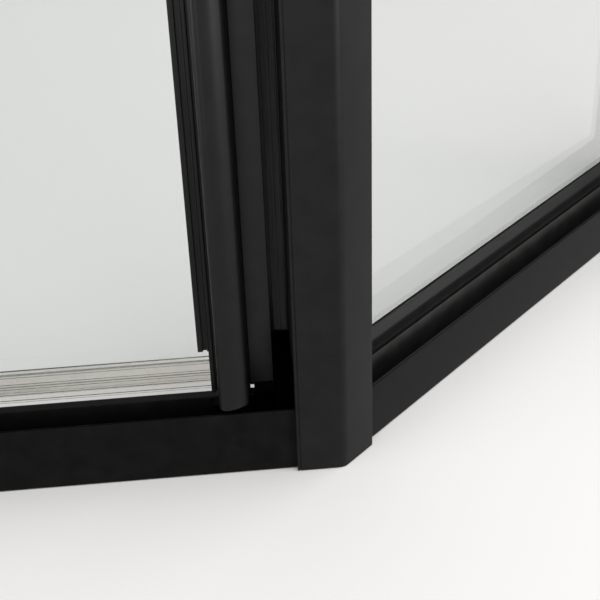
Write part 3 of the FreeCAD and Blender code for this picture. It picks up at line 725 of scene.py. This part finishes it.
def stile_section():
    """Stile with a gap beside its nose cover, and two wings that hold the glass."""
    near, far, front, back = STILE
    wing_front, wing_back, rear_wing_front = 20.0, 24.2, 31.8
    gap_near, gap_far, gap_bottom = NOSE[0][0], 68.9, front + 4.0
    line_near, line_far, line_bottom = 70.6, 71.0, wing_front + 0.5
    groove_near, groove_far, groove_bottom = 71.9, 74.1, wing_front + 1.6
    return [
        (near, front),
        (gap_near, front),
        (gap_near, gap_bottom),
        (gap_far, gap_bottom),
        (gap_far, wing_front, 0.3),
        (line_near, wing_front, 0.15),
        (line_near, line_bottom, 0.1),
        (line_far, line_bottom, 0.1),
        (line_far, wing_front, 0.15),
        (groove_near, wing_front, 0.3),
        (groove_near, groove_bottom),
        (groove_far, groove_bottom),
        (groove_far, wing_front, 0.3),
        (WING_END, wing_front, 0.3),
        (WING_END, wing_back),
        (far, wing_back),
        (far, rear_wing_front),
        (WING_END, rear_wing_front),
        (WING_END, back, 0.4),
        (near, back, 0.4),
    ]


def build_stiles():
    """The stiles and their nose covers. A notch in the wings leaves room for the bottom seal."""
    near, far, front, back = STILE
    wall, glass_wall, past = 1.6, 3.6, 1.0
    hollow = rectangle(near + wall, far - glass_wall, front + wall, back - wall)
    notch = rectangle(DOOR_GLASS_EDGE, WING_END + past, front, back + past)
    for node, nose, place in (("hinge_stile", "hinge_nose_cover", door_upright),
                              ("closing_stile", "grip_nose_cover", closing_side(door_upright))):
        stile = profile(node + "_profile", node, place, (DOOR_BOTTOM, HEIGHT - DOOR_BOTTOM),
                        stile_section(), COAT_DOOR, [hollow])
        cut_out(stile, place, (DOOR_BOTTOM - past, WING_BOTTOM), notch)
        profile(nose + "_profile", nose, place, (DOOR_BOTTOM, HEIGHT - DOOR_BOTTOM),
                nose_section(), COAT_DOOR)


def build_door_glass():
    """The pane, with the ground arris of its lower and upper edges darker than its faces."""
    far = DOOR_RUN - CLOSING_SHIFT - DOOR_GLASS_EDGE
    front, back, bottom = DOOR_GLASS
    outline = rectangle(front, back, bottom, HEIGHT - DOOR_BOTTOM)
    pane = profile("door_pane", "door_glass", door_rail, (DOOR_GLASS_EDGE, far),
                   outline, GLASS, edge=0.5)
    pane.data.materials.append(GLASS_EDGE)
    across, flat = 0.05, 0.95
    for face in pane.data.polygons:
        if across < abs(face.normal.dot(INTO_DOOR)) < flat:
            face.material_index = 1


def build_bottom_seal():
    """Clear seal clipped on the door glass's bottom edge, with flat ribs outside."""
    glass_front, glass_back, glass_bottom = DOOR_GLASS
    bottom, top, rear_top = SEAL
    wall, web_bottom = 1.2, 49.1
    front, back = glass_front - wall, glass_back + wall
    points = [(glass_front, bottom), (glass_front, web_bottom),
              (glass_back, web_bottom), (glass_back, bottom), (back, bottom),
              (back, rear_top), (glass_back, rear_top),
              (glass_back, glass_bottom), (glass_front, glass_bottom),
              (glass_front, top), (front, top)]
    width, height = SEAL_RIB
    for middle in SEAL_RIBS:
        points += [(front, middle + width / 2), (front - height, middle),
                   (front, middle - width / 2)]
    points.append((front, bottom))
    far = DOOR_RUN - CLOSING_SHIFT - DOOR_GLASS_EDGE
    profile("bottom_seal", "door_bottom_seal", door_rail, (DOOR_GLASS_EDGE, far),
            points, CLEAR, edge=0.06)


def paint_cad_nodes():
    """The remaining CAD nodes keep their shapes and get their finishes by slot, except some pieces
    at the post's foot, which get near-black materials as painted shade.
    """
    finishes = {"black_frame": COAT, "black_plastic": PLASTIC, "clear_glass": GLASS,
                "clear_seal": CLEAR, "black_rubber": RUBBER, "pile_fibre": PILE_FABRIC,
                "magnet": MAGNET, "steel": STEEL, "black_steel": BLACK_STEEL}
    slots = {part["node"]: part["material_slot"] for part in frame["record"]["subparts"]}
    for node, thing in frame["nodes"].items():
        material = finishes[slots[node]]
        # The corner seal blocks, pivot blocks and jamb feet get the near-black materials that
        # paint the deep shade at the post's foot.
        if node == "corner_seal_blocks":
            material = PAINTED_SHADE_FOAM
        elif node.endswith("_pivot_block") or node == "jamb_feet":
            material = PAINTED_SHADE_BLOCK
        thing.data.materials.clear()
        thing.data.materials.append(material)


# ---------------------------------------------------------------- stage, light and camera

def build_stage():
    size, clearance = 12.0, 0.0006
    mesh = bpy.data.meshes.new("floor")
    corners = [(-size, -size, 0), (size, -size, 0), (size, size, 0), (-size, size, 0)]
    mesh.from_pydata(corners, [], [(0, 1, 2, 3)])
    material, tree, shader = new_material("pale floor")
    colour = ramp(tree, noise(tree, 1.2, 2.0), (0.86, 0.855, 0.85), (0.90, 0.89, 0.885))
    tree.links.new(colour, shader.inputs["Base Color"])
    shader.inputs["Roughness"].default_value = 0.5
    mesh.materials.append(material)
    floor = bpy.data.objects.new("floor", mesh)
    floor.location.z = -clearance
    bpy.context.scene.collection.objects.link(floor)
    return floor


def area_light(name, location, target, size, energy):
    data = bpy.data.lights.new(name, "AREA")
    data.shape = "RECTANGLE"
    data.size, data.size_y = size
    data.energy = energy
    light = bpy.data.objects.new(name, data)
    light.location = location
    direction = Vector(target) - Vector(location)
    light.rotation_euler = direction.to_track_quat("-Z", "Y").to_euler()
    bpy.context.scene.collection.objects.link(light)
    return light


def lit_only(light, things):
    """The light falls on these things and on nothing else."""
    receivers = bpy.data.collections.new(light.name + "_receivers")
    for thing in things:
        receivers.objects.link(thing)
    light.light_linking.receiver_collection = receivers


def build_lights(floor):
    """Soft white surroundings and low softboxes. Azimuths and elevations are from the post's foot.

    The softboxes would burn out the floor near them and show as bright squares in the panes
    and the clear seal. So they light only the rest, and the floor has one of its own above it.
    """
    world = bpy.data.worlds.new("studio")
    world.use_nodes = True
    background = world.node_tree.nodes["Background"]
    background.inputs["Color"].default_value = (1.0, 0.995, 0.985, 1)
    background.inputs["Strength"].default_value = 0.53
    bpy.context.scene.world = world
    foot_height, overhead_height = 0.15, 2.6
    foot = CORNER + UP * foot_height
    pieces = [thing for thing in bpy.data.objects
              if thing.type == "MESH" and thing != floor
              and "_pane" not in thing.name and thing.name != "bottom_seal"]
    outside = CORNER + Vector((0.15, -0.95, 0))
    overhead = area_light("overhead_softbox", outside + UP * overhead_height, outside,
                          (2.4, 2.4), 64.0)
    lit_only(overhead, [floor])
    for name, azimuth, elevation, distance, size, energy in (
            ("left_softbox", 150, 6, 1.0, (0.35, 0.5), 7.2),
            ("front_left_softbox", 205, 6, 1.0, (0.35, 0.5), 3.6),
            ("front_softbox", 225, 13, 1.7, (0.45, 0.6), 4.0),
            ("front_right_softbox", 278, 6, 1.0, (0.35, 0.5), 9.2),
            ("right_softbox", 325, 6, 1.0, (0.35, 0.5), 1.2),
            ("rear_softbox", 45, 35, 2.2, (1.4, 1.0), 10.8)):
        turn, lift = math.radians(azimuth), math.radians(elevation)
        towards = Vector((math.cos(turn) * math.cos(lift), math.sin(turn) * math.cos(lift),
                          math.sin(lift)))
        light = area_light(name, foot + towards * distance, foot, size, energy)
        lit_only(light, pieces)


def build_camera():
    """Close view of the right post's foot, from outside and above."""
    tilt, roll, turn = 58.684, 1.814, -50.205
    data = bpy.data.cameras.new("camera")
    data.lens = 73.66
    data.sensor_width = 36.0
    data.clip_start = 0.01
    camera = bpy.data.objects.new("camera", data)
    camera.location = door_point(60.4, -537.3, 439.0)
    camera.rotation_euler = [math.radians(angle) for angle in (tilt, roll, turn)]
    bpy.context.scene.collection.objects.link(camera)
    bpy.context.scene.camera = camera


paint_cad_nodes()
build_posts()
build_door_rails()
build_side_panels()
build_jambs()
build_stiles()
build_door_glass()
build_bottom_seal()
build_lights(build_stage())
build_camera()
bpy.context.scene.view_settings.view_transform = "Standard"
